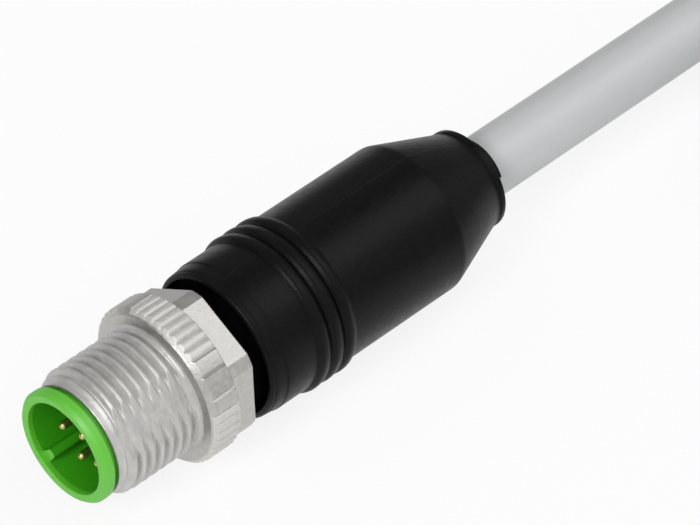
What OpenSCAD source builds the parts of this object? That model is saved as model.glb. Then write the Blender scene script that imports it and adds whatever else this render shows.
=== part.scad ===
// Moulded M12 plug on a free cable: a male circular connector with eight contacts.
// The axis runs along X. The mating face is at X = 0 and the cable leaves towards +X.
// Angles round the axis are counted from +Z, turning from +Z towards -Y.

/* [Contact carrier] */
// Outer diameter of the rim at the mating face
rim_d = 10.7; // [10.5:0.1:10.9]
// Diameter of the rim's front edge, inside its chamfer
rim_front_d = 10.1; // [9.9:0.1:10.3]
// Length of the rim along the axis
rim_len = 1; // [0.8:0.1:1.2]
// Diameter of the neck that the coupling screw turns on
neck_d = 9.7; // [9.6:0.05:9.75]
// Diameter of the cavity that the mating socket enters
cavity_d = 8.74; // [8.6:0.02:8.8]
// Depth of the cavity from the mating face
cavity_depth = 9.2; // [8:0.1:10]
// Width of the coding key on the cavity wall
key_w = 0.92; // [0.8:0.04:1.08]
// Distance from the axis to the key's rounded top
key_reach = 3.05; // [3:0.05:3.5]
// Set-back of the key from the mating face
key_front = 0.55; // [0.4:0.05:1.2]
// Angle of the key round the axis
key_angle = 221; // [216:1:226]

/* [Contacts] */
// Diameter of a contact pin
pin_d = 0.8; // [0.75:0.05:0.85]
// Diameter of the circle that the seven outer pins stand on
pin_circle_d = 5.24; // [5.1:0.02:5.5]
// Angle between the two pins on either side of the key
key_gap = 69; // [64:1:74]
// Set-back of the pin tips from the mating face
pin_tip = 1.92; // [1.8:0.04:2.6]
// Diameter of the collar that seats a contact in the carrier, and of its solder cup
collar_d = 1.2; // [1.1:0.05:1.3]

/* [Coupling screw] */
// Major diameter of the thread
thread_d = 11.9; // [11.8:0.05:12]
// Diameter of the bore through the screw
screw_bore_d = 9.84; // [9.8:0.02:9.9]
// Front end of the screw along the axis
screw_front = 1.55; // [1.4:0.05:1.7]
// Distance from the axis to the two die flats on the thread
thread_flat = 5.34; // [5.3:0.02:5.5]
// Diameter over the knurl
knurl_d = 15.04; // [14.8:0.04:15.2]
// Angle from one knurl tooth to the next
tooth_pitch = 7.7; // [7.5:0.1:7.8]
// Distance across the flats of the hexagon
hex_af = 13; // [12.9:0.1:13.2]
// Diameter over the hexagon's turned corners
hex_corner_d = 14.35; // [14.2:0.05:14.5]
// Rear end of the screw along the axis
screw_rear = 15.8; // [15.6:0.1:16]
// Angle of the die's parting line, at which the screw is parked
screw_park = 57.7; // [0:0.1:359.9]

/* [Grip] */
// Diameter of the grip's main body
grip_d = 14.5; // [14.3:0.1:14.7]
// Diameter over the three grip rings
ring_d = 15.3; // [15.1:0.1:15.5]
// Distance from one grip ring to the next
ring_pitch = 1.54; // [1.5:0.02:1.6]
// Start of the first grip ring along the axis
ring_start = 22.4; // [22:0.1:22.8]
// Front edge of the grip's mouth along the axis
mouth_front = 17.25; // [17.1:0.05:17.5]
// Diameter of the recess in the mouth
mouth_d = 13.1; // [12.9:0.1:13.3]
// Depth of the recess in the mouth
mouth_depth = 1.1; // [0.8:0.1:1.3]
// Start of the cone along the axis
cone_start = 40.1; // [39.7:0.1:40.5]
// Rear end of the grip along the axis
grip_rear = 47.6; // [47.4:0.1:48]
// Diameter of the cone where it meets the end bead
cone_end_d = 9.44; // [9.2:0.04:9.52]
// Diameter of the bead round the grip's end
bead_d = 9.64; // [9.56:0.04:9.8]

/* [Cable] */
// Diameter of the cable's jacket
cable_d = 6; // [5.8:0.1:6.2]
// Diameter of one insulated core
core_d = 1.25; // [1.1:0.05:1.3]
// Diameter of a core's bare strand
strand_d = 0.75; // [0.6:0.05:0.78]

/* [Hidden] */

// Smoothness of round surfaces
$fn = 96;
// Gap left between layers that are moulded on each other
skin = 0.02;
// Reach of a cut past the surface that it opens
over = 0.5;

// Contacts: the front of the collar, the back of the carrier's block and of the solder cup
collar_front = 11;
carrier_rear = 22;
cup_rear = 24.5;
cup_floor = 22.6;
cup_bore_d = 0.82;
tip_len = 0.42;
pin_step = (360 - key_gap) / 6;
pin_r = pin_circle_d / 2;

// Carrier: rim chamfer, the groove that the inner mould flows into, and the rear boss
rim_chamfer = 0.35;
cavity_edge = 0.12;
groove_from = 19.7;
groove_to = 20.5;
groove_d = 8.8;
boss_front = 21.2;
boss_d = 8.2;

// Coupling screw: nose, lead-in chamfer, thread with a fillet to the shoulder wall, knurl
nose_d = 10.6;
lead_from = 2;
lead_end = 3;
shoulder_at = 10.29;
shoulder_r = 7.01;
fillet_r = 0.4;
thread_end = shoulder_at - fillet_r;
knurl_rear = 13.3;
knurl_bevel = 0.15;
knurl_root_d = 14.5;
tooth_r = 0.62;
teeth_each = 8;
first_tooth = 24.55;
pad_inner = 8.5;
pad_outer = 20.7;
groove_w = 0.36;
gate_pad = 7.7;

// Grip: web behind the recess, collar on the carrier's neck that stops the screw, lip bead,
// ring shape, end bead and the lip round the cable
web = 0.7;
collar_front_at = 16.05;
collar_ring_d = 11.2;
lip_d = 14.16;
lip_bead_end = 17.62;
lip_nick_d = 14.04;
sleeve_step = 19;
sleeve_d = 14.56;
ring_rise = 0.8;
ring_root_d = 14.66;
ring_tail = 1.2;
bead_w = 0.65;
bead_rise = 0.18;
seal_lip_d = 6.8;
seal_lip_rear = 48.85;
seal_lip_from = -60;
seal_lip_sweep = 125;

// Inner mould: body, two locking grooves, tapered tail
mould_front = mouth_front + mouth_depth + web;
mould_d = 11.6;
mould_lock_d = 10.6;
mould_taper = 38;
mould_rear = 43;
mould_tail_d = 8.2;
jacket_cut = 34;
core_front = 25;
core_rear_r = 1.75;

// Cable lying at rest: height of the surface, of the lower and of the upper layer of turns
ground = -ring_d / 2;
low = ground + cable_d / 2;
high = low + cable_d;
coil_at = [108, -43.5];
coil_outer = 43.5;
coil_inner = 24;
tail_y = coil_at[1] - coil_outer;
RUN = [[grip_rear, 0, 0], [56, 0, 0], [64, 0, 0], [72, 0, 0], [78, 0, -0.05], [83, 0, -0.55],
    [88, 0, -1.45], [92, 0, -2.35], [96, 0, -3.2], [100, 0, -4], [104, 0, -4.5], [108, 0, low]];
TAIL = [[108, tail_y, high], [104, tail_y, 1.05], [100, tail_y, 0.2], [96, tail_y, -1],
    [92, tail_y, -2.3], [88, tail_y, -3.5], [84, tail_y, -4.35], [80, tail_y, low],
    [75.5, tail_y, low]];
tube_sides = 12;

// Free ends of the cores: lay inside the jacket, fan on the surface, bare tip
lay_r = 1.55;
lay_angle = 12.9;
lay_step = 360 / 7;
fan_pitch = 2.4;
fan_len = 20;
bare_len = 5;
FAN_SLOT = [7, 5, 2, 0, 1, 3, 6, 4];
core_sides = 8;
core_rings = 7;

// Tie round the coil
tie_w = 2.6;
tie_t = 1;
tie_head = [2.6, 4.4, 4.6];
tie_end = 3;

// Solid of revolution about the X axis from points [radius, x]
module turned(points) rotate([0, 90, 0]) rotate_extrude() polygon(points);

// Rod along the X axis between two places
module rod(from, to, d) translate([from, 0, 0]) rotate([0, 90, 0]) cylinder(d = d, h = to - from);

// Places its children at the station of pin n: 1 to 7 round the key, 8 in the middle
module at_pin(n, r) {
    rotate([key_angle - key_gap / 2 - (n - 1) * pin_step, 0, 0])
        translate([0, 0, n == 8 ? 0 : r]) children();
}

// Tube swept along points, each ring square to the way between its neighbours
function unit(v) = v / norm(v);
function along(p, i) = unit(p[min(i + 1, len(p) - 1)] - p[max(i - 1, 0)]);
function ring(p, i, r, sides) =
    let (t = along(p, i), side = unit(cross([0, 0, 1], t)), top = cross(t, side))
    [for (k = [0:sides - 1]) p[i] + r * (cos(360 * k / sides) * side + sin(360 * k / sides) * top)];

module tube(p, d, sides) {
    last = len(p) - 1;
    polyhedron(
        points = [for (i = [0:last]) each ring(p, i, d / 2, sides)],
        faces = concat(
            [[for (k = [0:sides - 1]) k]],
            [for (i = [0:last - 1], k = [0:sides - 1]) let (n = (k + 1) % sides)
                [i * sides + k, (i + 1) * sides + k, (i + 1) * sides + n, i * sides + n]],
            [[for (k = [sides - 1:-1:0]) last * sides + k]]));
}

// Coding key: a rib with a rounded top along the cavity wall
module key() {
    rotate([key_angle, 0, 0]) translate([key_front, 0, 0]) rotate([0, 90, 0])
        linear_extrude(cavity_depth - key_front + over) {
            translate([-key_reach - key_w / 2, 0]) circle(d = key_w, $fn = 48);
            translate([-cavity_d / 2 - skin, -key_w / 2])
                square([cavity_d / 2 + skin - key_reach - key_w / 2, key_w]);
        }
}

module contact_carrier() {
    color("limegreen") difference() {
        union() {
            turned([[0, cavity_depth], [cavity_d / 2, cavity_depth], [cavity_d / 2, cavity_edge],
                [cavity_d / 2 + cavity_edge, 0], [rim_front_d / 2, 0], [rim_d / 2, rim_chamfer],
                [rim_d / 2, rim_len], [neck_d / 2, rim_len], [neck_d / 2, groove_from],
                [groove_d / 2, groove_from], [groove_d / 2, groove_to], [neck_d / 2, groove_to],
                [neck_d / 2, boss_front], [boss_d / 2, boss_front], [boss_d / 2, carrier_rear],
                [0, carrier_rear]]);
            key();
        }
        for (n = [1:8]) at_pin(n, pin_r) {
            rod(cavity_depth - over, collar_front, pin_d + 2 * skin);
            rod(collar_front, carrier_rear + over, collar_d + 2 * skin);
        }
    }
}

// Turned contact: rounded tip, pin, collar, and a solder cup at the back
module contact(n) {
    color("gold") at_pin(n, pin_r) difference() {
        turned(concat(
            [for (a = [0:18:90]) [pin_d / 2 * sin(a), pin_tip + tip_len * (1 - cos(a))]],
            [[pin_d / 2, collar_front], [collar_d / 2, collar_front], [collar_d / 2, cup_rear],
                [0, cup_rear]]));
        rod(cup_floor, cup_rear + over, cup_bore_d);
    }
}

// Outline of the knurl: rounded teeth between the plain pads on the die's parting and gate lines
module knurl_outline() {
    difference() {
        union() {
            circle(d = knurl_root_d);
            for (half = [0, 180], side = [-1, 1], k = [0:teeth_each - 1])
                rotate(half + side * (first_tooth + k * tooth_pitch))
                    translate([knurl_d / 2 - tooth_r, 0]) circle(r = tooth_r, $fn = 32);
            for (half = [0, 180]) {
                sector(half, pad_outer);
                sector(half + 90, gate_pad);
            }
        }
        for (half = [0, 180], side = [-1, 1], at = [pad_inner, pad_outer])
            rotate(half + side * at) translate([knurl_d / 2, 0])
                circle(d = groove_w, $fn = 4);
    }
}

// Slice of the knurl's full circle, to each side of an angle
module sector(middle, half_width) {
    reach = knurl_d;
    intersection() {
        circle(d = knurl_d);
        rotate(middle) polygon([[0, 0], [reach, -reach * tan(half_width)],
            [reach, reach * tan(half_width)]]);
    }
}

module coupling_screw() {
    color("silver") rotate([screw_park, 0, 0]) difference() {
        union() {
            turned(concat([[0, screw_front], [nose_d / 2, screw_front], [nose_d / 2, lead_from],
                    [thread_d / 2, lead_end]],
                [for (a = [0:15:90]) [thread_d / 2 + fillet_r * (1 - cos(a)),
                    thread_end + fillet_r * sin(a)]],
                [[shoulder_r, shoulder_at], [shoulder_r, knurl_rear - over],
                    [0, knurl_rear - over]]));
            intersection() {
                translate([shoulder_at, 0, 0]) rotate([0, 90, 0]) rotate(180)
                    linear_extrude(knurl_rear - shoulder_at) knurl_outline();
                turned([[0, shoulder_at - over], [shoulder_r - over, shoulder_at - over],
                    [knurl_d / 2, shoulder_at + knurl_d / 2 - shoulder_r],
                    [knurl_d / 2, knurl_rear - knurl_bevel],
                    [knurl_root_d / 2, knurl_rear + 0.02], [0, knurl_rear + over]]);
            }
            translate([knurl_rear - over, 0, 0]) rotate([0, 90, 0])
                linear_extrude(screw_rear - knurl_rear + over) intersection() {
                    circle(d = hex_corner_d);
                    circle(r = hex_af / 2 / cos(30), $fn = 6);
                }
        }
        rod(screw_front - over, screw_rear + over, screw_bore_d);
        for (side = [0, 180]) rotate([side, 0, 0])
            translate([screw_front - over, -thread_d / 2, thread_flat])
                cube([thread_end - screw_front + over, thread_d, thread_d]);
    }
}

// Outline of the inner mould, with room for a gap all round it
module mould_form(gap) {
    turned([[0, mould_front - gap], [mould_d / 2 + gap, mould_front - gap],
        [mould_d / 2 + gap, 27 + gap], [mould_lock_d / 2 + gap, 27.5 + gap],
        [mould_lock_d / 2 + gap, 28.5 - gap], [mould_d / 2 + gap, 29 - gap],
        [mould_d / 2 + gap, 32 + gap], [mould_lock_d / 2 + gap, 32.5 + gap],
        [mould_lock_d / 2 + gap, 33.5 - gap], [mould_d / 2 + gap, 34 - gap],
        [mould_d / 2 + gap, mould_taper + gap], [mould_tail_d / 2 + gap, mould_rear + gap],
        [0, mould_rear + gap]]);
}

// Slanting way of one core from its solder cup to the cut end of the jacket
module core_way(n, d) {
    slant = n == 8 ? 0 : atan((pin_r - core_rear_r) / (jacket_cut - core_front));
    at_pin(n, pin_r) intersection() {
        translate([core_front, 0, 0]) rotate([0, slant, 0])
            rod(-over, jacket_cut - core_front + over, d);
        translate([core_front, -pin_r, -pin_r])
            cube([jacket_cut - core_front, 2 * pin_r, 2 * pin_r]);
    }
}

module inner_mould() {
    color("dimgray") difference() {
        mould_form(0);
        turned([[0, mould_front - over], [neck_d / 2 + skin, mould_front - over],
            [neck_d / 2 + skin, groove_from + skin], [groove_d / 2 + skin, groove_from + skin],
            [groove_d / 2 + skin, groove_to - skin], [neck_d / 2 + skin, groove_to - skin],
            [neck_d / 2 + skin, boss_front + skin], [boss_d / 2 + skin, boss_front + skin],
            [boss_d / 2 + skin, carrier_rear], [0, carrier_rear]]);
        for (n = [1:8]) {
            at_pin(n, pin_r) rod(carrier_rear - over, core_front, collar_d + 2 * skin);
            core_way(n, core_d + 2 * skin);
        }
        rod(jacket_cut, mould_rear + over, cable_d + 2 * skin);
    }
}

// Profile of one grip ring: steep front, rounded crest and a long back
function ring_profile(x, back_r) = [
    [ring_root_d / 2, x + 0.06], [ring_d / 2 - 0.14, x + ring_rise * 0.42],
    [ring_d / 2 - 0.03, x + ring_rise * 0.82], [ring_d / 2, x + ring_rise],
    [ring_d / 2 - 0.03, x + ring_rise + 0.12], [back_r, x + ring_pitch - 0.06]];

module grip_body() {
    color([0.13, 0.13, 0.14]) difference() {
        union() {
            turned(concat(
                [[0, mouth_front + mouth_depth], [mouth_d / 2, mouth_front + mouth_depth],
                    [mouth_d / 2, mouth_front + 0.08], [mouth_d / 2 + 0.08, mouth_front],
                    [lip_d / 2 - 0.24, mouth_front + 0.06], [lip_d / 2 - 0.04, mouth_front + 0.2],
                    [lip_d / 2, lip_bead_end - 0.08], [lip_nick_d / 2, lip_bead_end],
                    [lip_d / 2 + 0.02, lip_bead_end + 0.1], [sleeve_d / 2 - 0.05, sleeve_step - 0.05],
                    [sleeve_d / 2, sleeve_step], [sleeve_d / 2, ring_start - 0.06]],
                ring_profile(ring_start, ring_d / 2 - 0.24),
                ring_profile(ring_start + ring_pitch, ring_d / 2 - 0.24),
                [for (p = ring_profile(ring_start + 2 * ring_pitch, 0)) if (p[0] > 0) p],
                [[grip_d / 2, ring_start + 2 * ring_pitch + ring_rise + ring_tail],
                    [grip_d / 2, cone_start], [cone_end_d / 2, grip_rear - bead_w],
                    [bead_d / 2, grip_rear - bead_w + bead_rise], [bead_d / 2, grip_rear - 0.05],
                    [bead_d / 2 - 0.05, grip_rear], [0, grip_rear]]));
            turned([[0, collar_front_at], [collar_ring_d / 2 - 0.05, collar_front_at],
                [collar_ring_d / 2, collar_front_at + 0.05],
                [collar_ring_d / 2, mouth_front + mouth_depth + over],
                [0, mouth_front + mouth_depth + over]]);
            rotate([0, 90, 0]) rotate(180 + seal_lip_from)
                rotate_extrude(angle = seal_lip_sweep)
                    polygon([[cable_d / 2 + skin, grip_rear - over],
                        [seal_lip_d / 2, grip_rear - over],
                        [seal_lip_d / 2, seal_lip_rear - 0.15],
                        [seal_lip_d / 2 - 0.1, seal_lip_rear],
                        [cable_d / 2 + skin, seal_lip_rear]]);
        }
        mould_form(skin);
        rod(collar_front_at - over, mould_front, neck_d + 2 * skin);
        rod(mould_rear, grip_rear + over, cable_d + 2 * skin);
    }
}

// Free end of a core: from the jacket's cut end, down and out to its slot in the fan
function ease(t) = t * t * (3 - 2 * t);
function core_end(n) = let (
        a = lay_angle + (n - 1) * lay_step,
        from = n == 8 ? [0, 0] : lay_r * [cos(a), sin(a)],
        to = [(FAN_SLOT[n - 1] - 3.5) * fan_pitch, ground - low + core_d / 2])
    [for (i = [0:core_rings - 1]) let (t = i / (core_rings - 1), e = ease(t))
        TAIL[8] + [-fan_len * t, from[0] * (1 - e) + to[0] * e, from[1] * (1 - e) + to[1] * e]];

// One core: strand in the solder cup, insulated way to the jacket, and its free end
module core(n, tint) {
    end = core_end(n);
    tip = end[core_rings - 1];
    color(tint) {
        at_pin(n, pin_r) rod(cup_floor, core_front + over, strand_d);
        core_way(n, core_d);
        tube(end, core_d, core_sides);
        translate(tip) rod(-bare_len, 0, strand_d);
    }
}

module cable_root() color("silver") rod(jacket_cut, grip_rear, cable_d);

module cable_run() color("silver") tube(RUN, cable_d, tube_sides);

module cable_tail() color("silver") tube(TAIL, cable_d, tube_sides);

// Section of the wound coil, rounded as its outer turns are
module coil_section() {
    r = cable_d / 2;
    for (x = [coil_inner, coil_outer], z = [low, high]) translate([x, z]) circle(r = r);
    translate([coil_inner - r, low]) square([coil_outer - coil_inner + cable_d, high - low]);
    translate([coil_inner, ground]) square([coil_outer - coil_inner, 2 * cable_d]);
}

module cable_coil() {
    color("silver") translate([coil_at[0], coil_at[1], 0]) rotate_extrude() coil_section();
}

// Band round the coil, drawn tight enough to sink into the lowest turns, with its locking
// head on the outer side and the end of the band trimmed above it
module coil_tie() {
    wide = coil_outer - coil_inner + cable_d;
    outside = -wide / 2 - tie_t;
    color("black") translate([coil_at[0] - (coil_outer + coil_inner) / 2, coil_at[1], ground]) {
        rotate([90, 0, 0]) linear_extrude(tie_w, center = true) difference() {
            translate([outside, 0]) square([wide + 2 * tie_t, 2 * cable_d + tie_t]);
            translate([-wide / 2, tie_t]) square([wide, 2 * cable_d - tie_t]);
        }
        translate([outside - tie_head[0], -tie_head[1] / 2, cable_d - tie_head[2] / 2])
            cube([tie_head[0] + tie_t / 2, tie_head[1], tie_head[2]]);
        translate([outside - tie_head[0] / 2 - tie_t / 2, -tie_w / 2, cable_d])
            cube([tie_t, tie_w, tie_head[2] / 2 + tie_end]);
    }
}

contact_carrier();
contact(1);  // contact_pin_1
contact(2);  // contact_pin_2
contact(3);  // contact_pin_3
contact(4);  // contact_pin_4
contact(5);  // contact_pin_5
contact(6);  // contact_pin_6
contact(7);  // contact_pin_7
contact(8);  // contact_pin_8
coupling_screw();
inner_mould();
grip_body();
core(1, "white");  // core_white
core(2, "saddlebrown");  // core_brown
core(3, "green");  // core_green
core(4, "yellow");  // core_yellow
core(5, "gray");  // core_grey
core(6, "pink");  // core_pink
core(7, "blue");  // core_blue
core(8, "red");  // core_red
cable_root();
cable_run();
cable_coil();
cable_tail();
coil_tie();
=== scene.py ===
import math

import bmesh
import bpy
from mathutils import Matrix, Vector


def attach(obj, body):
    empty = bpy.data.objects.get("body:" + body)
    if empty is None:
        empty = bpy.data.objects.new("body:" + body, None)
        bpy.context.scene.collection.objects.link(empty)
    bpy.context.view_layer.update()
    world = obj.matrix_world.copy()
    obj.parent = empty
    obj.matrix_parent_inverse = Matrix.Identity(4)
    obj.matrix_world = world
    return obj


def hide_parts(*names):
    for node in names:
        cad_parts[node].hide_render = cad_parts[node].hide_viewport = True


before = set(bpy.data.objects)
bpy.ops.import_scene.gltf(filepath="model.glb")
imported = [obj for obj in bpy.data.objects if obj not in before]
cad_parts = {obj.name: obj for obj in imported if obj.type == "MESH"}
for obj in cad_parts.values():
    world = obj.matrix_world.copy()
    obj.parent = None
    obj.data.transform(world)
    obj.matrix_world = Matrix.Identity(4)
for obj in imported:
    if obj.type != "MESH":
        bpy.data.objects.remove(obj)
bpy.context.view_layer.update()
MM = 0.001

# ---- Camera ----
# A long lens looks down at the plug from the side of its mating face, so that
# the pin cavity, the knurled screw and the grip all show.
VIEW_RIGHT = Vector((0.7145, -0.6997, 0.0))
VIEW_UP = Vector((0.4799, 0.4900, 0.7278))
VIEW_AHEAD = Vector((0.5092, 0.5200, -0.6858))
FACE_IN_VIEW = Vector((-23.75, -15.46, 397.0)) * MM

camera_data = bpy.data.cameras.new("camera")
camera_data.sensor_width = 36.0
camera_data.lens = 246.9
camera_data.clip_start = 0.01
camera_data.clip_end = 5.0
camera = bpy.data.objects.new("camera", camera_data)
turn = Matrix((VIEW_RIGHT, VIEW_UP, -VIEW_AHEAD)).transposed()
eye = -(FACE_IN_VIEW.x * VIEW_RIGHT + FACE_IN_VIEW.y * VIEW_UP + FACE_IN_VIEW.z * VIEW_AHEAD)
camera.matrix_world = Matrix.Translation(eye) @ turn.to_4x4()
bpy.context.collection.objects.link(camera)
bpy.context.scene.camera = camera
bpy.context.scene.view_settings.view_transform = "Standard"

# ---- Cable ----
# The light grey round cable, 6 mm across, extruded plastic. It leaves the grip
# straight, sinks to the surface and is wound in two layers of turns, and its
# jacket is cut back at the far end, where eight cores come out.
CABLE_R = 3.0 * MM
GROUND = -7.65 * MM
LOW = GROUND + CABLE_R
HIGH = LOW + 2 * CABLE_R
COIL = Vector((108 * MM, -43.5 * MM, 0))
COIL_OUTER = 43.5 * MM
COIL_INNER = 24.0 * MM
TURNS = 3.25
CLIMB_TURNS = 1 / 6
POINTS_A_TURN = 20
TAIL_Y = COIL.y - COIL_OUTER
RUN = [(0.0476, 0, 0), (0.056, 0, 0), (0.064, 0, 0), (0.072, 0, 0), (0.078, 0, -0.00005),
       (0.083, 0, -0.00055), (0.088, 0, -0.00145), (0.092, 0, -0.00235), (0.096, 0, -0.0032),
       (0.100, 0, -0.0040), (0.104, 0, -0.0045)]
TAIL = [(0.104, TAIL_Y, 0.00105), (0.100, TAIL_Y, 0.0002), (0.096, TAIL_Y, -0.0010),
        (0.092, TAIL_Y, -0.0023), (0.088, TAIL_Y, -0.0035), (0.084, TAIL_Y, -0.00435),
        (0.080, TAIL_Y, LOW), (0.0755, TAIL_Y, LOW)]


def wound_turns():
    """Centreline of the coil: in along the lower layer, up a layer, and out again."""
    total = 2 * TURNS
    steps = round(total * POINTS_A_TURN)
    line = []
    for i in range(steps + 1):
        turned = total * i / steps
        if turned < TURNS:
            radius = COIL_OUTER - (COIL_OUTER - COIL_INNER) * turned / TURNS
        else:
            radius = COIL_INNER + (COIL_OUTER - COIL_INNER) * (turned - TURNS) / TURNS
        rise = min(max((turned - TURNS) / CLIMB_TURNS + 0.5, 0.0), 1.0)
        rise = rise * rise * (3 - 2 * rise)
        angle = math.pi / 2 - 2 * math.pi * turned
        line.append(COIL + Vector((radius * math.cos(angle), radius * math.sin(angle),
                                   LOW + (HIGH - LOW) * rise)))
    return line


def shader(name, colour, roughness, metallic=0.0, grain=8000.0, grain_height=0.004,
           mottle=0.06, mottle_scale=400.0, rough_spread=0.08, smear=1.0, sockets=()):
    """A moulded or metal surface: fine grain as bump, faint mottling and uneven gloss.
    A smear under 1 draws the mottling out round the X axis."""
    mat = bpy.data.materials.new(name)
    mat.use_nodes = True
    nodes, links = mat.node_tree.nodes, mat.node_tree.links
    surface = nodes["Principled BSDF"]
    place = nodes.new("ShaderNodeTexCoord")
    blotch = nodes.new("ShaderNodeTexNoise")
    blotch.inputs["Scale"].default_value = mottle_scale
    blotch.inputs["Detail"].default_value = 4.0
    drawn = nodes.new("ShaderNodeVectorMath")
    drawn.operation = "MULTIPLY"
    drawn.inputs[1].default_value = (1, smear, smear)
    links.new(place.outputs["Object"], drawn.inputs[0])
    links.new(drawn.outputs["Vector"], blotch.inputs["Vector"])
    tone = nodes.new("ShaderNodeMix")
    tone.data_type = "RGBA"
    tone.inputs["A"].default_value = (*[c * (1 - mottle) for c in colour], 1)
    tone.inputs["B"].default_value = (*[min(c * (1 + mottle), 1) for c in colour], 1)
    links.new(blotch.outputs["Fac"], tone.inputs["Factor"])
    links.new(tone.outputs["Result"], surface.inputs["Base Color"])
    gloss = nodes.new("ShaderNodeMapRange")
    gloss.inputs["To Min"].default_value = max(roughness - rough_spread, 0.02)
    gloss.inputs["To Max"].default_value = roughness + rough_spread
    links.new(blotch.outputs["Fac"], gloss.inputs["Value"])
    links.new(gloss.outputs["Result"], surface.inputs["Roughness"])
    speck = nodes.new("ShaderNodeTexNoise")
    speck.inputs["Scale"].default_value = grain
    speck.inputs["Detail"].default_value = 3.0
    links.new(place.outputs["Object"], speck.inputs["Vector"])
    bump = nodes.new("ShaderNodeBump")
    bump.inputs["Strength"].default_value = 1.0
    bump.inputs["Distance"].default_value = grain_height * MM
    links.new(speck.outputs["Fac"], bump.inputs["Height"])
    links.new(bump.outputs["Normal"], surface.inputs["Normal"])
    surface.inputs["Metallic"].default_value = metallic
    for socket, value in sockets:
        surface.inputs[socket].default_value = value
    return mat


jacket_grey = shader("jacket_grey", (0.53, 0.535, 0.54), 0.42, grain=5000, grain_height=0.01,
                     mottle=0.03)


def cable_curve(name, line, radius, material):
    """A round cable along the points, as one smooth open curve with closed ends."""
    data = bpy.data.curves.new(name, "CURVE")
    data.dimensions = "3D"
    data.resolution_u = 5
    data.bevel_depth = radius
    data.bevel_resolution = 8
    data.use_fill_caps = True
    spline = data.splines.new("BEZIER")
    spline.bezier_points.add(len(line) - 1)
    for point, place in zip(spline.bezier_points, line):
        point.co = place
        point.handle_left_type = point.handle_right_type = "AUTO"
    data.materials.append(material)
    piece = bpy.data.objects.new(name, data)
    bpy.context.collection.objects.link(piece)
    return piece


route = [Vector(p) for p in RUN] + wound_turns() + [Vector(p) for p in TAIL]
cable = cable_curve("cable", route, CABLE_R, jacket_grey)
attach(cable, "root")
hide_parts("cable_run", "cable_coil", "cable_tail")
for node_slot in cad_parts["cable_root"].material_slots:
    node_slot.material = jacket_grey

# ---- Cores ----
# Eight cores of stranded copper in coloured insulation. Each runs from its
# contact's solder cup through the inner mould into the jacket; at the free end
# the insulation is cut back and the strands are twisted and tinned.
CORE_R = 0.625 * MM
STRAND_R = 0.36 * MM
PIN_CIRCLE_R = 2.62 * MM
KEY_ANGLE = 221.0
KEY_GAP = 69.0
PIN_STEP = (360 - KEY_GAP) / 6
CUP_FLOOR = 22.6 * MM
CORE_FRONT = 25.0 * MM
JACKET_CUT = 34.0 * MM
CORE_REAR_R = 1.75 * MM
LAY_R = 1.55 * MM
LAY_ANGLE = 12.9
FAN_SLOT = (7, 5, 2, 0, 1, 3, 6, 4)
FAN_MIDDLE = 3.5
FAN_PITCH = 2.4 * MM
FAN_LENGTH = 20.0 * MM
FAN_STEPS = 16
BARE_LENGTH = 5.0 * MM
BARE_STEPS = 24
CORE_SIDES = 16
CUP_SIDES = 12
BARE_SIDES = 28
STRANDS = 7
STRAND_TWIST = 0.45
STRAND_DEPTH = 0.06 * MM
CORE_COLOURS = {
    "white": (0.80, 0.80, 0.78), "brown": (0.16, 0.06, 0.025), "green": (0.02, 0.22, 0.05),
    "yellow": (0.80, 0.56, 0.02), "grey": (0.22, 0.23, 0.24), "pink": (0.75, 0.27, 0.36),
    "blue": (0.015, 0.06, 0.32), "red": (0.42, 0.012, 0.012)}


def station(n, radius):
    """Contact n's place across the axis, as (y, z): 1 to 7 round the key, 8 central."""
    if n == 8:
        return 0.0, 0.0
    angle = math.radians(KEY_ANGLE - KEY_GAP / 2 - (n - 1) * PIN_STEP)
    return -radius * math.sin(angle), radius * math.cos(angle)


def swept(mesh, line, radius, sides, material_index=0, ridges=0, twist=0.0, depth=0.0):
    """A closed rod along the points, plain or with twisted ridges for bare strands."""
    rings = []
    for i, place in enumerate(line):
        ahead = (line[min(i + 1, len(line) - 1)] - line[max(i - 1, 0)]).normalized()
        side = Vector((0, 0, 1)).cross(ahead).normalized()
        top = ahead.cross(side)
        ring = []
        for k in range(sides):
            a = 2 * math.pi * k / sides
            r = radius - depth * (0.5 + 0.5 * math.cos(ridges * a + twist * i))
            ring.append(mesh.verts.new(place + r * (math.cos(a) * side + math.sin(a) * top)))
        rings.append(ring)
    made = []
    for a, b in zip(rings, rings[1:]):
        for k in range(sides):
            n = (k + 1) % sides
            made.append(mesh.faces.new((a[k], a[n], b[n], b[k])))
    made.append(mesh.faces.new(rings[0][::-1]))
    made.append(mesh.faces.new(rings[-1]))
    for face in made:
        face.material_index = material_index


def finished(name, mesh, materials, sharp=35.0):
    """Turns worked mesh data into a piece: outward faces, and hard edges past an angle."""
    bmesh.ops.recalc_face_normals(mesh, faces=mesh.faces)
    data = bpy.data.meshes.new(name)
    mesh.to_mesh(data)
    mesh.free()
    for material in materials:
        data.materials.append(material)
    for face in data.polygons:
        face.use_smooth = True
    data.set_sharp_from_angle(angle=math.radians(sharp))
    piece = bpy.data.objects.new(name, data)
    bpy.context.collection.objects.link(piece)
    return piece


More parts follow.
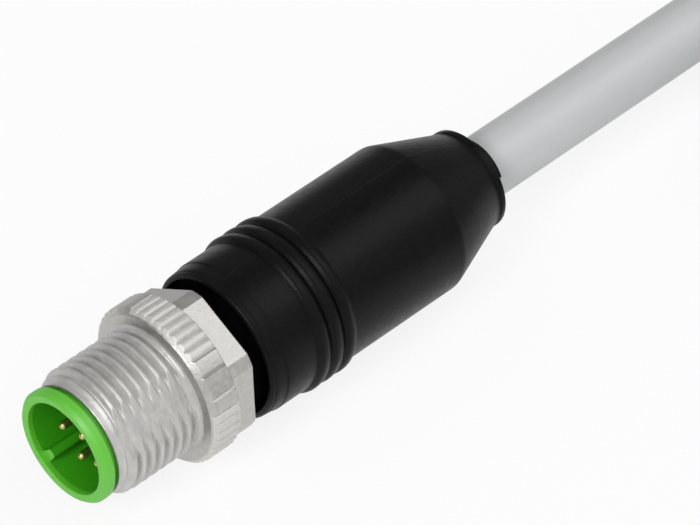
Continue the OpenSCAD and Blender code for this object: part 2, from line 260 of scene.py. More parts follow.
tinned_strand = shader("tinned_strand", (0.62, 0.61, 0.59), 0.34, metallic=1.0, grain=9000,
                       grain_height=0.003, mottle=0.08)
for number, (tint, colour) in enumerate(CORE_COLOURS.items(), start=1):
    y, z = station(number, PIN_CIRCLE_R)
    y_rear, z_rear = station(number, CORE_REAR_R)
    lay = math.radians(LAY_ANGLE + (number - 1) * 360 / 7)
    start = (0, 0) if number == 8 else (LAY_R * math.cos(lay), LAY_R * math.sin(lay))
    end = ((FAN_SLOT[number - 1] - FAN_MIDDLE) * FAN_PITCH, GROUND - LOW + CORE_R)
    cut = Vector(TAIL[-1])
    free = []
    for i in range(FAN_STEPS + 1):
        t = i / FAN_STEPS
        e = t * t * (3 - 2 * t)
        free.append(cut + Vector((-FAN_LENGTH * t, start[0] * (1 - e) + end[0] * e,
                                  start[1] * (1 - e) + end[1] * e)))
    tip = free[-1]
    shape = bmesh.new()
    swept(shape, [Vector((CUP_FLOOR, y, z)), Vector((CORE_FRONT, y, z))], STRAND_R, CUP_SIDES, 1)
    swept(shape, [Vector((CORE_FRONT, y, z)), Vector((JACKET_CUT, y_rear, z_rear))], CORE_R,
          CORE_SIDES)
    swept(shape, free, CORE_R, CORE_SIDES)
    bare = [tip + Vector((-BARE_LENGTH * i / BARE_STEPS, 0, 0)) for i in range(BARE_STEPS + 1)]
    swept(shape, bare, STRAND_R, BARE_SIDES, 1, ridges=STRANDS, twist=STRAND_TWIST,
          depth=STRAND_DEPTH)
    insulation = shader("insulation_" + tint, colour, 0.33, grain=4000, grain_height=0.004,
                        mottle=0.04)
    core = finished("core_wire_" + tint, shape, [insulation, tinned_strand])
    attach(core, "root")
    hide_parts("core_" + tint)

# ---- Coil tie ----
# A black nylon cable tie drawn round both layers of turns. Its toothed strap runs
# through a locking head on the coil's outer side and is trimmed above it.
TIE_W = 2.6 * MM
TIE_T = 1.0 * MM
TIE_HEAD = (2.6 * MM, 4.4 * MM, 4.6 * MM)
TIE_END = 3.0 * MM
TIE_WIDE = COIL_OUTER - COIL_INNER + 2 * CABLE_R
TIE_HIGH = 4 * CABLE_R
TIE_CORNER = 1.6 * MM
TIE_BEVEL = 0.12 * MM
TIE_HEAD_BEVEL = 0.4 * MM
TIE_TEETH = 6
TIE_FIRST_TOOTH = 0.35 * MM
TIE_TOOTH_PITCH = 0.45 * MM
TIE_TOOTH_HIGH = 0.22 * MM
TIE_TOOTH_BEVEL = 0.03 * MM
tie_black = shader("tie_black", (0.012, 0.012, 0.013), 0.5, grain=6000, grain_height=0.006)
middle_x = COIL.x - (COIL_OUTER + COIL_INNER) / 2


def strap_line(grow):
    """Rounded outline of the strap in the XZ plane, grown outwards from the turns."""
    line = []
    for cx, cz, first in ((1, 0, -90), (1, 1, 0), (0, 1, 90), (0, 0, 180)):
        x = middle_x + (TIE_WIDE / 2 - TIE_CORNER) * (1 if cx else -1)
        z = GROUND + (TIE_HIGH - TIE_CORNER if cz else TIE_CORNER)
        for k in range(7):
            a = math.radians(first + 15 * k)
            line.append((x + (TIE_CORNER + grow) * math.cos(a),
                         z + (TIE_CORNER + grow) * math.sin(a)))
    return line


shape = bmesh.new()
side_rings = []
for grow, y in ((0, -1), (TIE_T * 0.8, -1), (TIE_T, -0.86), (TIE_T, 0.86), (TIE_T * 0.8, 1),
                (0, 1)):
    side_rings.append([shape.verts.new((px, COIL.y + y * TIE_W / 2, max(pz, GROUND)))
                       for px, pz in strap_line(grow)])
for a, b in zip(side_rings, side_rings[1:] + side_rings[:1]):
    for k in range(len(a)):
        n = (k + 1) % len(a)
        shape.faces.new((a[k], b[k], b[n], a[n]))


def bevelled_block(mesh, low, high, bevel):
    """A block between two corners with its edges rounded off."""
    made = bmesh.ops.create_cube(mesh, size=1.0)
    for v in made["verts"]:
        v.co = Vector([(a + b) / 2 + c * (b - a) for a, b, c in zip(low, high, v.co)])
    edges = {e for v in made["verts"] for e in v.link_edges}
    bmesh.ops.bevel(mesh, geom=list(edges), offset=bevel, segments=3, affect="EDGES")


strap_x = middle_x - TIE_WIDE / 2 - TIE_T
mid_z = GROUND + 2 * CABLE_R
bevelled_block(shape, (strap_x - TIE_HEAD[0], COIL.y - TIE_HEAD[1] / 2, mid_z - TIE_HEAD[2] / 2),
               (strap_x + TIE_T / 2, COIL.y + TIE_HEAD[1] / 2, mid_z + TIE_HEAD[2] / 2),
               TIE_HEAD_BEVEL)
band_x = strap_x - TIE_HEAD[0] / 2
bevelled_block(shape, (band_x - TIE_T / 2, COIL.y - TIE_W / 2, mid_z),
               (band_x + TIE_T / 2, COIL.y + TIE_W / 2, mid_z + TIE_HEAD[2] / 2 + TIE_END),
               TIE_BEVEL)
for k in range(TIE_TEETH):
    z = mid_z + TIE_HEAD[2] / 2 + TIE_FIRST_TOOTH + k * TIE_TOOTH_PITCH
    bevelled_block(shape, (band_x + TIE_T * 0.4, COIL.y - TIE_W * 0.3, z),
                   (band_x + TIE_T * 0.62, COIL.y + TIE_W * 0.3, z + TIE_TOOTH_HIGH),
                   TIE_TOOTH_BEVEL)
tie = finished("cable_tie", shape, [tie_black])
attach(tie, "root")
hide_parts("coil_tie")

# ---- Contact carrier ----
# The moulded green insert that holds the contacts. Its rim is the mating face, a
# rib on the cavity wall is the coding key, and the coupling screw turns on it.
# The sizes of all turned parts are in mm.
RIM_R = 5.35
RIM_REAR = 1.0
NECK_R = 4.85
CAVITY_R = 4.37
CAVITY_DEPTH = 9.2
KEY_FRONT = 0.55
KEY_HALF = 0.53
KEY_REACH = 3.05
GROOVE_R = 4.4
GROOVE_FRONT = 19.7
GROOVE_REAR = 20.5
REAR_STEP = 21.2
REAR_STEP_R = 4.1
CARRIER_REAR = 22.0


def turned_rings(mesh, profile, angles, radius_at=None, closed=False):
    """Surface of revolution about the X axis from (radius, x) pairs in mm, ring by ring.
    radius_at(radius, x, angle) may change a ring's radius from angle to angle."""
    rings = []
    for radius, x in profile:
        if radius < 1e-6:
            rings.append([mesh.verts.new((x * MM, 0, 0))] * len(angles))
            continue
        ring = []
        for a in angles:
            r = (radius_at(radius, x, a) if radius_at else radius) * MM
            ring.append(mesh.verts.new((x * MM, -r * math.sin(math.radians(a)),
                                        r * math.cos(math.radians(a)))))
        rings.append(ring)
    pairs = list(zip(rings, rings[1:]))
    if closed:
        pairs.append((rings[-1], rings[0]))
    for a, b in pairs:
        for k in range(len(angles)):
            n = (k + 1) % len(angles)
            corners = []
            for v in (a[k], b[k], b[n], a[n]):
                if v not in corners:
                    corners.append(v)
            if len(corners) > 2:
                mesh.faces.new(corners)


def key_radius(radius, x, angle):
    """The cavity wall's radius, brought inwards where the rounded coding key stands."""
    off = math.radians(angle - KEY_ANGLE)
    if radius != CAVITY_R or x < KEY_FRONT or abs(off) > 0.5:
        return radius
    centre = KEY_REACH + KEY_HALF
    if abs(CAVITY_R * math.sin(off)) >= KEY_HALF:
        return radius
    top = centre * math.cos(off) - math.sqrt(max(KEY_HALF ** 2 - (centre * math.sin(off)) ** 2, 0))
    return min(radius, top)


def repaint(mesh, material_index, chosen):
    """Gives another material to each face whose middle passes chosen(x, r, angle), in mm
    and degrees."""
    for face in mesh.faces:
        at = face.calc_center_median() / MM
        if chosen(at.x, at.yz.length, math.degrees(math.atan2(-at.y, at.z))):
            face.material_index = material_index


carrier_green = shader("carrier_green", (0.10, 0.50, 0.018), 0.48, grain=3500,
                       grain_height=0.006, mottle=0.05, sockets=[("Specular IOR Level", 0.85)])
# The cavity walls and the key take a darker, less glossy copy of the same green plastic: painted
# shade deep in the cavity.
cavity_painted_shade = shader("cavity_painted_shade", (0.040, 0.35, 0.005), 0.50, grain=3500,
                      grain_height=0.006, mottle=0.05, sockets=[("Specular IOR Level", 0.35)])
shape = bmesh.new()
cavity = [(0, CAVITY_DEPTH), (4.2, CAVITY_DEPTH), (CAVITY_R, CAVITY_DEPTH - 0.12),
          (CAVITY_R, KEY_FRONT + 0.001), (CAVITY_R, KEY_FRONT - 0.001), (CAVITY_R, 0.12)]
rim = [(4.39, 0.06), (4.43, 0.02), (4.49, 0.0), (5.05, 0.0), (5.32, 0.315), (RIM_R, 0.37),
       (RIM_R, RIM_REAR), (NECK_R, RIM_REAR)]
rear = [(NECK_R, GROOVE_FRONT), (GROOVE_R, GROOVE_FRONT), (GROOVE_R, GROOVE_REAR),
        (NECK_R, GROOVE_REAR), (NECK_R, REAR_STEP), (REAR_STEP_R, REAR_STEP),
        (REAR_STEP_R, CARRIER_REAR), (0, CARRIER_REAR)]
key_edge = math.degrees(math.asin(KEY_HALF / CAVITY_R))
around = sorted({a * 1.5 for a in range(240)}
                | {KEY_ANGLE + d * 0.3 for d in range(-30, 31)}
                | {KEY_ANGLE + s * key_edge * f for s in (-1, 1) for f in (0.9999, 1.0001)})
turned_rings(shape, cavity + rim + rear, around, key_radius)
# Painted shade: every face inside the cavity behind the key's front takes the darker green.
repaint(shape, 1, lambda x, r, angle: (KEY_FRONT + 0.005 < x < CAVITY_DEPTH + 0.01
                                       and r < CAVITY_R + 0.01))
carrier = finished("carrier_insert", shape, [carrier_green, cavity_painted_shade], sharp=18)
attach(carrier, "root")
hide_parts("contact_carrier")

# ---- Contacts ----
# Eight turned and gold-plated pins, seven round the coding key and one in the
# middle. Each has a rounded tip, a collar that seats in the carrier, and a cup.
PIN_R = 0.4
PIN_TIP = 1.92
TIP_LENGTH = 0.42
COLLAR_R = 0.6
COLLAR_FRONT = 11.0
CUP_REAR = 24.5
CUP_BORE_R = 0.41
CONTACTS = 8
contact_gold = shader("contact_gold", (0.66, 0.55, 0.25), 0.34, metallic=1.0, grain=12000,
                      grain_height=0.0015, mottle=0.05)
shape = bmesh.new()
tip = [(PIN_R * math.sin(math.radians(a)), PIN_TIP + TIP_LENGTH * (1 - math.cos(math.radians(a))))
       for a in range(0, 91, 10)]
cup_floor = CUP_FLOOR / MM
turned_rings(shape, tip + [(PIN_R, COLLAR_FRONT), (COLLAR_R, COLLAR_FRONT), (COLLAR_R, CUP_REAR),
                           (CUP_BORE_R, CUP_REAR), (CUP_BORE_R, cup_floor), (0, cup_floor)],
             range(0, 360, 12))
one_contact = finished("one_contact", shape, [contact_gold])


def node_group(name, sockets):
    """An empty Geometry Nodes tree with named inputs; returns it with its two ends."""
    tree = bpy.data.node_groups.new(name, "GeometryNodeTree")
    tree.interface.new_socket("Geometry", in_out="INPUT", socket_type="NodeSocketGeometry")
    for label, kind in sockets:
        tree.interface.new_socket(label, in_out="INPUT", socket_type=kind)
    tree.interface.new_socket("Geometry", in_out="OUTPUT", socket_type="NodeSocketGeometry")
    return tree, tree.nodes.new("NodeGroupInput"), tree.nodes.new("NodeGroupOutput")


def calculator(tree):
    """Returns a function that adds a Math node to the tree and gives its output;
    each of its values is a number or another node's output."""
    def calc(operation, *values):
        node = tree.nodes.new("ShaderNodeMath")
        node.operation = operation
        for socket, value in zip(node.inputs, values):
            if hasattr(value, "node"):
                tree.links.new(value, socket)
            else:
                socket.default_value = value
        return node.outputs["Value"]
    return calc


def grown(name, tree, values, base=None):
    """Runs a Geometry Nodes tree and keeps what it makes as a plain mesh piece."""
    host = base or bpy.data.objects.new(name, bpy.data.meshes.new(name))
    if not base:
        bpy.context.collection.objects.link(host)
    modifier = host.modifiers.new("grow", "NODES")
    modifier.node_group = tree
    for item in tree.interface.items_tree:
        if item.in_out == "INPUT" and item.name in values:
            modifier[item.identifier] = values[item.name]
    graph = bpy.context.evaluated_depsgraph_get()
    data = bpy.data.meshes.new_from_object(host.evaluated_get(graph))
    data.name = name
    host.modifiers.remove(modifier)
    piece = bpy.data.objects.new(name, data)
    bpy.context.collection.objects.link(piece)
    bpy.data.objects.remove(host)
    return piece


tree, given, result = node_group("contact_ring", [
    ("Contact", "NodeSocketObject"), ("Circle Radius", "NodeSocketFloat"),
    ("First Angle", "NodeSocketFloat"), ("Step", "NodeSocketFloat"),
    ("Gold", "NodeSocketMaterial")])
nodes, links, calc = tree.nodes, tree.links, calculator(tree)
dots = nodes.new("GeometryNodeMeshLine")
dots.inputs["Count"].default_value = CONTACTS
dots.inputs["Offset"].default_value = (0, 0, 0)
index = nodes.new("GeometryNodeInputIndex").outputs["Index"]
bearing = calc("SUBTRACT", given.outputs["First Angle"],
               calc("MULTIPLY", index, given.outputs["Step"]))
outer = calc("LESS_THAN", index, CONTACTS - 1.5)
reach = calc("MULTIPLY", outer, given.outputs["Circle Radius"])
spot = nodes.new("ShaderNodeCombineXYZ")
links.new(calc("MULTIPLY", reach, calc("MULTIPLY", calc("SINE", bearing), -1.0)),
          spot.inputs["Y"])
links.new(calc("MULTIPLY", reach, calc("COSINE", bearing)), spot.inputs["Z"])
spread = nodes.new("GeometryNodeSetPosition")
links.new(dots.outputs["Mesh"], spread.inputs["Geometry"])
links.new(spot.outputs["Vector"], spread.inputs["Position"])
single = nodes.new("GeometryNodeObjectInfo")
links.new(given.outputs["Contact"], single.inputs["Object"])
stand = nodes.new("GeometryNodeInstanceOnPoints")
links.new(spread.outputs["Geometry"], stand.inputs["Points"])
links.new(single.outputs["Geometry"], stand.inputs["Instance"])
real = nodes.new("GeometryNodeRealizeInstances")
links.new(stand.outputs["Instances"], real.inputs["Geometry"])
paint = nodes.new("GeometryNodeSetMaterial")
links.new(real.outputs["Geometry"], paint.inputs["Geometry"])
links.new(given.outputs["Gold"], paint.inputs["Material"])
links.new(paint.outputs["Geometry"], result.inputs["Geometry"])
contacts = grown("contact_pins", tree, {
    "Contact": one_contact, "Circle Radius": PIN_CIRCLE_R,
    "First Angle": math.radians(KEY_ANGLE - KEY_GAP / 2), "Step": math.radians(PIN_STEP),
    "Gold": contact_gold})
bpy.data.objects.remove(one_contact)
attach(contacts, "root")
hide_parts(*["contact_pin_%d" % n for n in range(1, 9)])

# ---- Coupling screw ----
# A die-cast sleeve with satin nickel plating, free to turn on the carrier: M12x1
# thread with two die flats, a knurl between four plain pads, and a 13 mm hexagon.
PARTING = 57.7
BORE_R = 4.92
NOSE_FRONT = 1.55
NOSE_R = 5.3
NOSE_EDGE = 0.05
LEAD_FRONT = 2.0
LEAD_REAR = 3.0
PITCH = 1.02
CREST_R = 5.95
ROOT_R = 5.39
FIRST_CREST = 2.94
FLANK_START = 0.05
FLANK_END = 0.86
THREAD_ROWS = 140
THREAD_END = 9.70
RUN_OUT_END = 9.86
RUN_OUT_R = 5.7
FLAT_AT = 5.34
RIDGE_HEIGHT = 0.03
RIDGE_SHARPNESS = 45.0
SHOULDER = 10.29
SHOULDER_R = 7.01
FILLET_R = SHOULDER - RUN_OUT_END
KNURL_R = 7.52
KNURL_ROOT_R = 7.25
KNURL_FRONT = SHOULDER + KNURL_R - SHOULDER_R
KNURL_REAR = 13.3
KNURL_BEVEL = 0.15
TEETH = 8
TOOTH_STEP = 7.7
TOOTH_WEAR = 3.5
ROWS_A_TOOTH = 8
PAD_INNER = 8.5
PAD_OUTER = 20.7
TEETH_END = 82.3
NOTCH_HALF = 1.37
NOTCH_DEPTH = 0.18
HEX_FLAT = 6.5
HEX_CORNER_R = 7.17
HEX_BEVEL = 0.14
SCREW_REAR = 15.8
LEAST_STEP = 0.12


def tooth_radius(off):
    """Broad worn teeth with narrow valleys between them."""
    along = (off - PAD_OUTER) / TOOTH_STEP % 1 * 2 - 1
    return KNURL_R - (KNURL_R - KNURL_ROOT_R) * abs(along) ** TOOTH_WEAR


def knurl_radius(angle):
    """The knurl's outline: teeth between plain pads, with a notch at each pad's edges."""
    off = abs((angle + 90) % 180 - 90)
    for at in (PAD_INNER, PAD_OUTER):
        if abs(off - at) < NOTCH_HALF:
            notch = KNURL_R - NOTCH_DEPTH * (1 - abs(off - at) / NOTCH_HALF)
            if off < PAD_OUTER:
                return notch
            return min(notch, tooth_radius(off))
    if off < PAD_OUTER or off > TEETH_END:
        return KNURL_R
    return tooth_radius(off)


def hexagon_radius(angle):
    """The hexagon's outline, with its corners turned off."""
    off = math.radians((angle % 60) - 30)
    return min(HEX_FLAT / math.cos(off), HEX_CORNER_R)


def screw_radius(radius, x, angle):
    """The radius at one row of the blank: plain, knurled or hexagonal."""
    if SHOULDER < x <= KNURL_REAR:
        return min(radius, knurl_radius(angle - PARTING))
    if x > KNURL_REAR and radius > BORE_R + 0.5:
        return hexagon_radius(angle - PARTING) - (HEX_CORNER_R - radius)
    return radius


def on_teeth(x, r, angle):
    """Whether a place on the screw is on the knurl's teeth."""
    off = abs((angle - PARTING + 90) % 180 - 90)
    return (SHOULDER + 0.1 < x < KNURL_REAR and r > KNURL_ROOT_R - 0.1
            and PAD_OUTER < off < TEETH_END)


satin_nickel = shader("satin_nickel", (0.53, 0.52, 0.50), 0.46, metallic=1.0, grain=3000,
                      grain_height=0.03, mottle=0.24, mottle_scale=2000, rough_spread=0.15)
tooth_nickel = shader("tooth_nickel", (0.62, 0.61, 0.59), 0.55, metallic=0.6, grain=3200,
                      grain_height=0.03, mottle=0.16, mottle_scale=2000, rough_spread=0.12)
thread_nickel = shader("thread_nickel", (0.55, 0.54, 0.525), 0.50, metallic=0.6, grain=2600,
                       grain_height=0.035, mottle=0.30, mottle_scale=2600, rough_spread=0.15,
                       smear=0.3)
angles = [float(a) for a in range(-20, 21)] + [-90 + TOOTH_STEP * k / 2 for k in range(-1, 3)]
for side in (-1, 1):
    angles += [side * (PAD_OUTER + TOOTH_STEP * k / ROWS_A_TOOTH)
               for k in range(TEETH * ROWS_A_TOOTH + 1)]
    for at in (PAD_INNER, PAD_OUTER):
        angles += [side * (at + d) for d in (-NOTCH_HALF, 0, NOTCH_HALF)]
angles += [a - 180 for a in angles]
corner = math.degrees(math.acos(HEX_FLAT / HEX_CORNER_R))
angles += [30 + 60 * k + s * corner for k in range(6) for s in (-1, 1)]
angles = sorted({round(a % 360, 2) for a in angles})
angles = [a for a, b in zip(angles, angles[1:] + [360.0]) if b - a > LEAST_STEP]

rows = [(BORE_R + 0.06, NOSE_FRONT), (NOSE_R - NOSE_EDGE, NOSE_FRONT),
        (NOSE_R, NOSE_FRONT + NOSE_EDGE)]
for i in range(1, THREAD_ROWS):
    x = NOSE_FRONT + NOSE_EDGE + (THREAD_END - NOSE_FRONT - NOSE_EDGE) * i / THREAD_ROWS
    rise = max(x - LEAD_FRONT, 0) / (LEAD_REAR - LEAD_FRONT)
    rows.append((min(CREST_R, NOSE_R + rise * (CREST_R - NOSE_R)), x))
rows += [(CREST_R + (RUN_OUT_R - CREST_R) * i / 5,
          THREAD_END + (RUN_OUT_END - THREAD_END) * i / 5) for i in range(5)]
rows += [(RUN_OUT_R + FILLET_R * (1 - math.cos(math.radians(a))),
          RUN_OUT_END + FILLET_R * math.sin(math.radians(a))) for a in range(0, 91, 10)]
rows += [(6.3, SHOULDER), (6.6, SHOULDER), (6.9, SHOULDER)]
rows += [(SHOULDER_R + (KNURL_R - SHOULDER_R) * i / 8,
          SHOULDER + (KNURL_FRONT - SHOULDER) * i / 8) for i in range(8)]
rows += [(KNURL_R, KNURL_FRONT), (KNURL_R, 12.0), (KNURL_R, KNURL_REAR - KNURL_BEVEL),
         (KNURL_R - 0.13, KNURL_REAR - 0.03), (KNURL_ROOT_R, KNURL_REAR)]
rows += [(HEX_CORNER_R, KNURL_REAR + 0.001), (HEX_CORNER_R, 14.5),
         (HEX_CORNER_R, SCREW_REAR - HEX_BEVEL), (HEX_CORNER_R - HEX_BEVEL, SCREW_REAR)]
rows += [(BORE_R + 0.12, SCREW_REAR), (BORE_R, SCREW_REAR - 0.12), (BORE_R, 8.0),
         (BORE_R, NOSE_FRONT + 0.06)]
shape = bmesh.new()
turned_rings(shape, rows, [a + PARTING for a in angles], screw_radius, closed=True)
repaint(shape, 1, on_teeth)
blank = finished("screw_blank", shape, [satin_nickel, tooth_nickel])

tree, given, result = node_group("thread_cutter", [
    ("Pitch", "NodeSocketFloat"), ("Root", "NodeSocketFloat"), ("Crest", "NodeSocketFloat"),
    ("Bore", "NodeSocketFloat"), ("First Crest", "NodeSocketFloat"),
    ("From", "NodeSocketFloat"), ("To", "NodeSocketFloat"), ("Flat", "NodeSocketFloat"),
    ("Parting", "NodeSocketFloat"), ("Ridge", "NodeSocketFloat"),
    ("Run-out", "NodeSocketFloat"), ("Nickel", "NodeSocketMaterial")])
nodes, links, calc = tree.nodes, tree.links, calculator(tree)
where = nodes.new("GeometryNodeInputPosition")
split = nodes.new("ShaderNodeSeparateXYZ")
links.new(where.outputs["Position"], split.inputs["Vector"])
x, y, z = (split.outputs[k] for k in "XYZ")
radial = calc("SQRT", calc("ADD", calc("MULTIPLY", y, y), calc("MULTIPLY", z, z)))
bearing = calc("ARCTAN2", calc("MULTIPLY", y, -1.0), z)
from_parting = calc("SUBTRACT", bearing, given.outputs["Parting"])
phase = calc("ADD", calc("DIVIDE", calc("SUBTRACT", x, given.outputs["First Crest"]),
                         given.outputs["Pitch"]),
             calc("DIVIDE", from_parting, 2 * math.pi))
height = calc("SUBTRACT", 1.0, calc("MULTIPLY", calc("PINGPONG", phase, 0.5), 2.0))
swell = nodes.new("ShaderNodeMapRange")
swell.interpolation_type = "SMOOTHSTEP"
swell.inputs["From Min"].default_value = FLANK_START
swell.inputs["From Max"].default_value = FLANK_END
links.new(height, swell.inputs["Value"])
links.new(given.outputs["Root"], swell.inputs["To Min"])
links.new(given.outputs["Crest"], swell.inputs["To Max"])
away = calc("ABSOLUTE", calc("COSINE", from_parting))
flat = calc("DIVIDE", given.outputs["Flat"], calc("MAXIMUM", away, 0.05))
cut = calc("MINIMUM", calc("MINIMUM", radial, swell.outputs["Result"]), flat)
beside = calc("ABSOLUTE", calc("SINE", from_parting))
ridge = calc("MULTIPLY", given.outputs["Ridge"], calc("MAXIMUM", calc(
    "SUBTRACT", 1.0, calc("MULTIPLY", beside, RIDGE_SHARPNESS)), 0.0))
past = calc("DIVIDE", calc("MAXIMUM", calc("SUBTRACT", x, given.outputs["Run-out"]), 0.0),
            calc("SUBTRACT", given.outputs["To"], given.outputs["Run-out"]))
run_out = calc("MULTIPLY", calc("POWER", past, 2.0),
               calc("SUBTRACT", given.outputs["Crest"], given.outputs["Root"]))
cut = calc("MINIMUM", radial, calc("ADD", calc("ADD", cut, ridge), run_out))
along = calc("MULTIPLY", calc("LESS_THAN", x, given.outputs["To"]),
             calc("GREATER_THAN", x, given.outputs["From"]))
chosen = calc("MULTIPLY", calc("GREATER_THAN", radial, given.outputs["Bore"]), along)
scale = calc("ADD", calc("MULTIPLY", chosen, calc(
    "SUBTRACT", calc("DIVIDE", cut, radial), 1.0)), 1.0)
moved = nodes.new("ShaderNodeCombineXYZ")
links.new(x, moved.inputs["X"])
links.new(calc("MULTIPLY", y, scale), moved.inputs["Y"])
links.new(calc("MULTIPLY", z, scale), moved.inputs["Z"])
cutting = nodes.new("GeometryNodeSetPosition")
links.new(given.outputs["Geometry"], cutting.inputs["Geometry"])
links.new(moved.outputs["Vector"], cutting.inputs["Position"])
real = nodes.new("GeometryNodeRealizeInstances")
links.new(cutting.outputs["Geometry"], real.inputs["Geometry"])
paint = nodes.new("GeometryNodeSetMaterial")
links.new(real.outputs["Geometry"], paint.inputs["Geometry"])
links.new(given.outputs["Nickel"], paint.inputs["Material"])
links.new(chosen, paint.inputs["Selection"])
links.new(paint.outputs["Geometry"], result.inputs["Geometry"])
screw = grown("coupling_sleeve", tree, {
    "Pitch": PITCH * MM, "Root": ROOT_R * MM, "Crest": CREST_R * MM,
    "Bore": (BORE_R + 0.2) * MM, "First Crest": FIRST_CREST * MM,
    "From": (NOSE_FRONT + 0.04) * MM, "To": SHOULDER * MM, "Flat": FLAT_AT * MM,
    "Parting": math.radians(PARTING), "Ridge": RIDGE_HEIGHT * MM, "Run-out": THREAD_END * MM,
    "Nickel": thread_nickel}, base=blank)
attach(screw, "coupling_screw")
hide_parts("coupling_screw")

# ---- Inner mould ----
# The first, hidden moulding round the contacts' cups, the cores and the end of
# the jacket. The grip is moulded over it, so none of it shows from outside.
mould_grey = shader("inner_mould_grey", (0.10, 0.10, 0.105), 0.55, grain=2500,
                    grain_height=0.01)
for node_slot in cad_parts["inner_mould"].material_slots:
    node_slot.material = mould_grey

# ---- Grip ----
# The black soft moulding held by the fingers: a mouth round the screw's end, three
# grip rings, a plain barrel, and a cone with a short lip that closes on the cable.
MOULD_R = 5.92
MOULD_FRONT = 19.05
MOULD_TAPER = 38.02
MOULD_REAR = 43.02
NECK_BORE_R = 4.87
NECK_COLLAR_R = 5.6
NECK_COLLAR_FRONT = 16.05
MOUTH_R = 6.55
MOUTH_FRONT = 17.25
RECESS_FLOOR = 18.35
SLEEVE_R = 7.28
RING_R = 7.65
RING_START = 22.4
RING_PITCH = 1.54
RING_ROOT_R = 7.24
GRIP_R = 7.25
CONE_START = 40.1
CONE_END_R = 4.72
BEAD_R = 4.82
GRIP_REAR = 47.6
JACKET_BORE_R = 3.02
LIP_R = 3.4
LIP_FROM = -60
LIP_SWEEP = 125
LIP_STEPS = 50
LIP_FRONT = 47.3
LIP_REAR = 48.85
SEAM_HALF = 0.35
SEAM_HEIGHT = 0.04
SEAM_RUNS = ((17.75, 20.1), (27.0, CONE_START))


def grip_ring(x, back):
    """One grip ring: a steep front, a rounded crest and a long falling back."""
    return [(RING_ROOT_R, x - 0.02), (RING_ROOT_R, x + 0.03), (RING_ROOT_R + 0.06, x + 0.08),
            (RING_R - 0.12, x + 0.26), (RING_R - 0.03, x + 0.4), (RING_R, x + 0.54),
            (RING_R - 0.01, x + 0.8), (RING_R - 0.05, x + 1.02), back]


def grip_radius(radius, x, angle):
    """Raises the fine line where the two halves of the mould met, above and below."""
    off = abs((angle + 90) % 180 - 90)
    if radius > 7 and off <= SEAM_HALF and any(a < x < b for a, b in SEAM_RUNS):
        return radius + SEAM_HEIGHT * (1 - off / SEAM_HALF)
    return radius


grip_black = shader("grip_black", (0.0042, 0.0042, 0.0047), 0.36, grain=3600, grain_height=0.022,
                    mottle=0.3, mottle_scale=1400, rough_spread=0.10,
                    sockets=[("Specular IOR Level", 0.10)])
# A still darker and duller copy of the grip's black for the neck and recess inside the mouth:
# painted shade in the gap behind the screw's hexagon.
recess_painted_shade = shader("recess_painted_shade", (0.0012, 0.0012, 0.0012), 0.8, grain=5500,
                      grain_height=0.012, sockets=[("Specular IOR Level", 0.02)])
neck = [(NECK_BORE_R, MOULD_FRONT), (NECK_BORE_R, NECK_COLLAR_FRONT + 0.05),
        (NECK_BORE_R + 0.05, NECK_COLLAR_FRONT),
        (NECK_COLLAR_R - 0.05, NECK_COLLAR_FRONT), (NECK_COLLAR_R, NECK_COLLAR_FRONT + 0.05),
        (NECK_COLLAR_R, RECESS_FLOOR - 0.1), (NECK_COLLAR_R + 0.1, RECESS_FLOOR)]
mouth = [(6.4, RECESS_FLOOR), (MOUTH_R, RECESS_FLOOR - 0.15), (MOUTH_R, MOUTH_FRONT + 0.1),
         (MOUTH_R + 0.02, MOUTH_FRONT + 0.03), (MOUTH_R + 0.08, MOUTH_FRONT),
         (6.8, MOUTH_FRONT + 0.005), (6.93, MOUTH_FRONT + 0.06), (7.03, MOUTH_FRONT + 0.16),
         (7.08, MOUTH_FRONT + 0.27)]
sleeve = [(7.06, 17.58), (7.02, 17.63), (7.05, 17.7), (7.1, 17.75), (7.14, 18.2), (7.2, 18.8),
          (7.22, 18.95), (7.27, 18.99), (SLEEVE_R, 19.05), (SLEEVE_R, 20.0), (SLEEVE_R, 20.3),
          (SLEEVE_R, 22.1)]
last = RING_START + 2 * RING_PITCH
rings = []
for start in (RING_START, RING_START + RING_PITCH):
    rings += grip_ring(start, (7.42, start + RING_PITCH - 0.08))
rings += grip_ring(last, (RING_R - 0.2, last + 1.2))
barrel = [(GRIP_R + 0.03, last + 1.36), (GRIP_R, last + 1.6), (GRIP_R, CONE_START - 0.3),
          (GRIP_R - 0.015, CONE_START - 0.05)]
cone = [(GRIP_R - 0.08, CONE_START + 0.2), (CONE_END_R + 0.04, GRIP_REAR - 0.7),
        (CONE_END_R, GRIP_REAR - 0.64), (CONE_END_R + 0.03, GRIP_REAR - 0.56),
        (BEAD_R, GRIP_REAR - 0.44), (BEAD_R, GRIP_REAR - 0.05), (BEAD_R - 0.05, GRIP_REAR)]
inside = [(JACKET_BORE_R, GRIP_REAR), (JACKET_BORE_R, MOULD_REAR), (MOULD_R, MOULD_TAPER),
          (MOULD_R, MOULD_FRONT)]
around = sorted({round(a % 360, 3) for a in [a * 2.0 for a in range(180)]
                 + [s + d for s in (0, 180) for d in (-SEAM_HALF, -0.15, 0, 0.15, SEAM_HALF)]})
shape = bmesh.new()
turned_rings(shape, neck + mouth + sleeve + rings + barrel + cone + inside, around, grip_radius,
             closed=True)
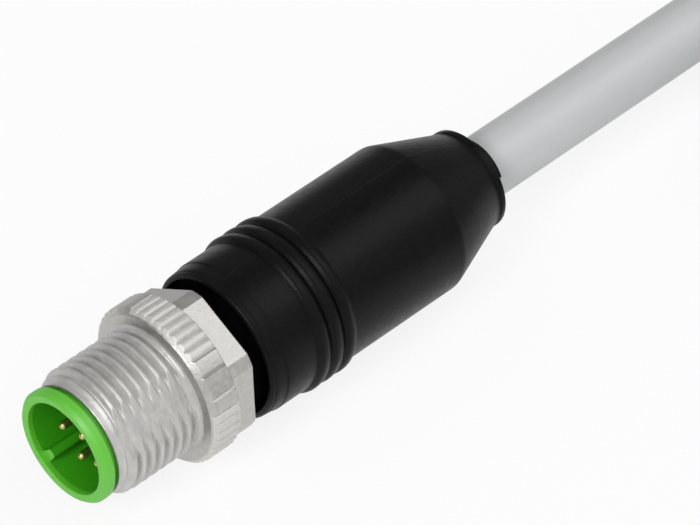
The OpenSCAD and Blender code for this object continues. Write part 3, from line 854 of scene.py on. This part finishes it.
# Painted shade: faces inside the mouth's recess take the darker black.
repaint(shape, 1, lambda x, r, angle: x < RECESS_FLOOR + 0.02 and r < MOUTH_R + 0.02)
section = [(JACKET_BORE_R, LIP_FRONT), (LIP_R, LIP_FRONT), (LIP_R, LIP_REAR - 0.15),
           (LIP_R - 0.04, LIP_REAR - 0.04), (LIP_R - 0.14, LIP_REAR),
           (JACKET_BORE_R, LIP_REAR)]
arcs = []
for i in range(LIP_STEPS + 1):
    a = math.radians(LIP_FROM + LIP_SWEEP * i / LIP_STEPS)
    arcs.append([shape.verts.new((x * MM, -r * MM * math.sin(a), r * MM * math.cos(a)))
                 for r, x in section])
for a, b in zip(arcs, arcs[1:]):
    for k in range(len(section)):
        n = (k + 1) % len(section)
        shape.faces.new((a[k], b[k], b[n], a[n]))
shape.faces.new(arcs[0])
shape.faces.new(arcs[-1][::-1])
grip = finished("grip_moulding", shape, [grip_black, recess_painted_shade], sharp=50)
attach(grip, "root")
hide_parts("grip_body")

# ---- Studio ----
# A plain white table under a sky that is brightest on the camera's side. A soft
# lamp stands over the coil, and a stronger, smaller one in front of the mating
# face draws the shadows in the cavity.
TABLE_HALF = 1.5
TABLE_DROP = 0.02 * MM
TABLE_WHITE = 0.85
SKY = ((-90, 0.52), (-60, 0.85), (-35, 1.10), (-12, 1.00), (4, 0.34), (22, 0.20), (42, 0.72),
       (65, 0.36), (90, 0.10))
SKY_IN_FRONT = 0.05
FRONT_FADE = (-0.95, -0.4)
SKY_SLOPE = 0.3
PLUG_MIDDLE = Vector((0.025, 0, 0))

table_white = bpy.data.materials.new("table_white")
table_white.use_nodes = True
nodes, links = table_white.node_tree.nodes, table_white.node_tree.links
calc = calculator(table_white.node_tree)
surface = nodes["Principled BSDF"]
surface.inputs["Base Color"].default_value = (0.9, 0.9, 0.9, 1)
surface.inputs["Roughness"].default_value = 0.7
rays = nodes.new("ShaderNodeLightPath")
seen = calc("MAXIMUM", rays.outputs["Is Camera Ray"], calc(
    "MAXIMUM", rays.outputs["Is Glossy Ray"], rays.outputs["Is Transmission Ray"]))
white = nodes.new("ShaderNodeEmission")
blend = nodes.new("ShaderNodeMixShader")
links.new(calc("MULTIPLY", seen, TABLE_WHITE), blend.inputs["Fac"])
links.new(surface.outputs["BSDF"], blend.inputs[1])
links.new(white.outputs["Emission"], blend.inputs[2])
links.new(blend.outputs["Shader"], nodes["Material Output"].inputs["Surface"])
shape = bmesh.new()
bmesh.ops.create_grid(shape, x_segments=1, y_segments=1, size=TABLE_HALF)
bmesh.ops.translate(shape, verts=shape.verts, vec=(0, 0, GROUND - TABLE_DROP))
table_top = finished("table_top", shape, [table_white])

# The sky's brightness goes by the lean from straight up, in degrees round the plug's
# axis: negative towards the camera, positive beyond the plug.
world = bpy.data.worlds.new("studio")
bpy.context.scene.world = world
world.use_nodes = True
nodes, links = world.node_tree.nodes, world.node_tree.links
calc = calculator(world.node_tree)
looking = nodes.new("ShaderNodeTexCoord")
apart = nodes.new("ShaderNodeSeparateXYZ")
links.new(looking.outputs["Generated"], apart.inputs["Vector"])
lean = calc("ARCTAN2", apart.outputs["Y"], calc("MAXIMUM", apart.outputs["Z"], 0.001))
level = nodes.new("ShaderNodeValToRGB")
level.color_ramp.interpolation = "EASE"
while len(level.color_ramp.elements) < len(SKY):
    level.color_ramp.elements.new(0.5)
for stop, (degrees, value) in zip(level.color_ramp.elements, SKY):
    stop.position = 0.5 + degrees / 180
    stop.color = (value, value, value, 1)
links.new(calc("ADD", calc("DIVIDE", lean, math.pi), 0.5), level.inputs["Fac"])
front = nodes.new("ShaderNodeMapRange")
front.interpolation_type = "SMOOTHSTEP"
front.inputs["From Min"].default_value = FRONT_FADE[0]
front.inputs["From Max"].default_value = FRONT_FADE[1]
front.inputs["To Min"].default_value = SKY_IN_FRONT
front.inputs["To Max"].default_value = 1.0
links.new(apart.outputs["X"], front.inputs["Value"])
slope = calc("SUBTRACT", 1.0, calc("MULTIPLY", apart.outputs["X"], SKY_SLOPE))
strength = calc("MULTIPLY", calc("MULTIPLY", level.outputs["Color"], front.outputs["Result"]),
                slope)
rays = nodes.new("ShaderNodeLightPath")
nodes["Background"].inputs["Color"].default_value = (1, 1, 1, 1)
links.new(calc("MAXIMUM", strength, rays.outputs["Is Camera Ray"]),
          nodes["Background"].inputs["Strength"])

for name, place, size, power in (("overhead", (0.275, -0.18, 0.395), 0.34, 0.42),
                                 ("key", (-0.46, -0.12, 0.38), 0.22, 1.8)):
    lamp = bpy.data.lights.new(name, "AREA")
    lamp.shape = "DISK"
    lamp.size = size
    lamp.energy = power
    fitting = bpy.data.objects.new(name, lamp)
    fitting.location = place
    fitting.rotation_euler = (PLUG_MIDDLE - Vector(place)).to_track_quat("-Z", "Y").to_euler()
    bpy.context.collection.objects.link(fitting)
